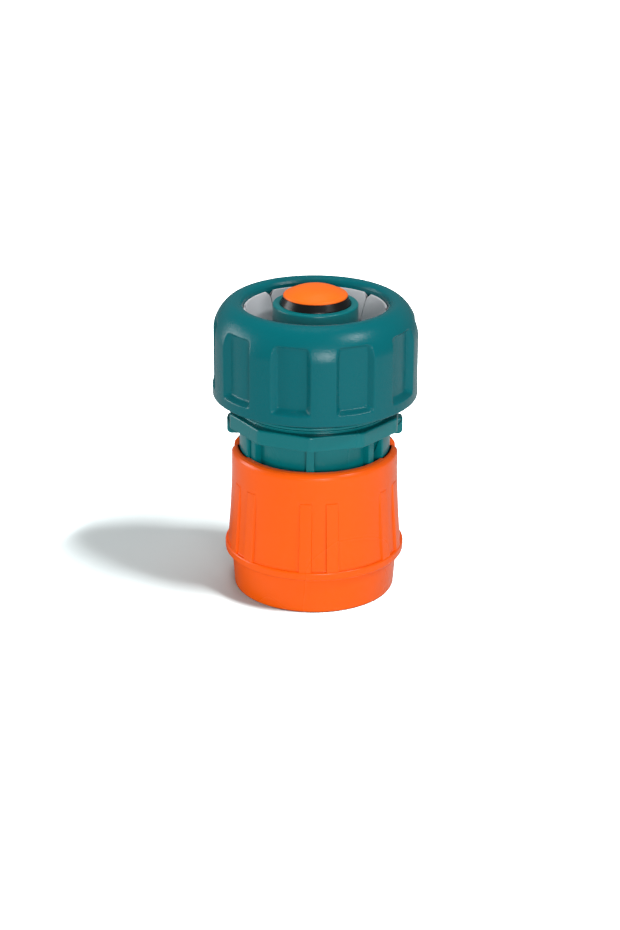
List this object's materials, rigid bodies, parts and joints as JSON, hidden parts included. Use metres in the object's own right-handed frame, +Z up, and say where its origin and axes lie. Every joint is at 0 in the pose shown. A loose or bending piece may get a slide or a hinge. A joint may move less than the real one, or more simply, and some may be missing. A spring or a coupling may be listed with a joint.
{
  "type": "garden hose quick connector",
  "caption": "Water-stop quick connector for a 19 mm garden hose: clamp nut on a hose tail, sprung release sleeve over a claw-locked socket, and a valve that shuts when uncoupled.",
  "frame": {"origin": "middle of the release sleeve's foot, on the surface that the connector stands on", "axes": "+Z up along the bore towards the hose, -Y towards the front of the picture"},
  "size_m": [0.0458, 0.0458, 0.0706],
  "materials": {
    "teal_abs": "satin moulded, fine grain",
    "teal_body": "satin moulded",
    "grey_acetal": "satin moulded",
    "grey_nose": "satin moulded",
    "white_acetal": "satin moulded",
    "orange_abs": "semi-gloss moulded",
    "orange_valve": "semi-gloss moulded",
    "black_rubber": "smooth",
    "spring_steel": "drawn wire"
  },
  "bodies": {
    "body": {"main_body": "teal_body", "coupling_nose": "grey_nose", "body_o_ring": "black_rubber", "valve_spring": "spring_steel", "sleeve_spring": "spring_steel"},
    "sleeve": {"release_sleeve": "orange_abs"},
    "claw_1": {"locking_claw_1": "white_acetal"},
    "claw_2": {"locking_claw_2": "white_acetal"},
    "claw_3": {"locking_claw_3": "white_acetal"},
    "claw_4": {"locking_claw_4": "white_acetal"},
    "valve": {"valve_stem": "orange_valve", "valve_seal": "black_rubber", "valve_pusher": "white_acetal"},
    "collet": {"grip_collet": "grey_acetal"},
    "nut": {"hose_nut": "teal_abs"}
  },
  "joints": [
    {"name": "sleeve_slide", "type": "slide", "parent": "body", "child": "sleeve", "axis": [0, 0, 1], "range_m": [0, 0.0044], "stiffness_N_per_m": 800, "springref_m": -0.006, "deforming": ["sleeve_spring"]},
    {"name": "claw_1_slide", "type": "slide", "parent": "body", "child": "claw_1", "axis": [0.7071, -0.7071, 0], "range_m": [0, 0.0014]},
    {"name": "claw_2_slide", "type": "slide", "parent": "body", "child": "claw_2", "axis": [0.7071, 0.7071, 0], "range_m": [0, 0.0014]},
    {"name": "claw_3_slide", "type": "slide", "parent": "body", "child": "claw_3", "axis": [-0.7071, 0.7071, 0], "range_m": [0, 0.0014]},
    {"name": "claw_4_slide", "type": "slide", "parent": "body", "child": "claw_4", "axis": [-0.7071, -0.7071, 0], "range_m": [0, 0.0014]},
    {"name": "valve_lift", "type": "slide", "parent": "body", "child": "valve", "axis": [0, 0, 1], "range_m": [0, 0.004], "stiffness_N_per_m": 250, "springref_m": -0.006, "deforming": ["valve_spring"]},
    {"name": "collet_lift", "type": "slide", "parent": "body", "child": "collet", "axis": [0, 0, 1], "range_m": [0, 0.009]},
    {"name": "nut_turn", "type": "hinge", "parent": "collet", "child": "nut", "pos_m": [0, 0, 0.0463], "axis": [0, 0, 1], "range_deg": [0, 1080]}
  ],
  "couplings": [
    {"joint": "claw_1_slide", "follows": "sleeve_slide", "ratio": 0.31818},
    {"joint": "claw_2_slide", "follows": "sleeve_slide", "ratio": 0.31818},
    {"joint": "claw_3_slide", "follows": "sleeve_slide", "ratio": 0.31818},
    {"joint": "claw_4_slide", "follows": "sleeve_slide", "ratio": 0.31818},
    {"joint": "collet_lift", "follows": "nut_turn", "m_per_rad": 0.00047746}
  ]
}
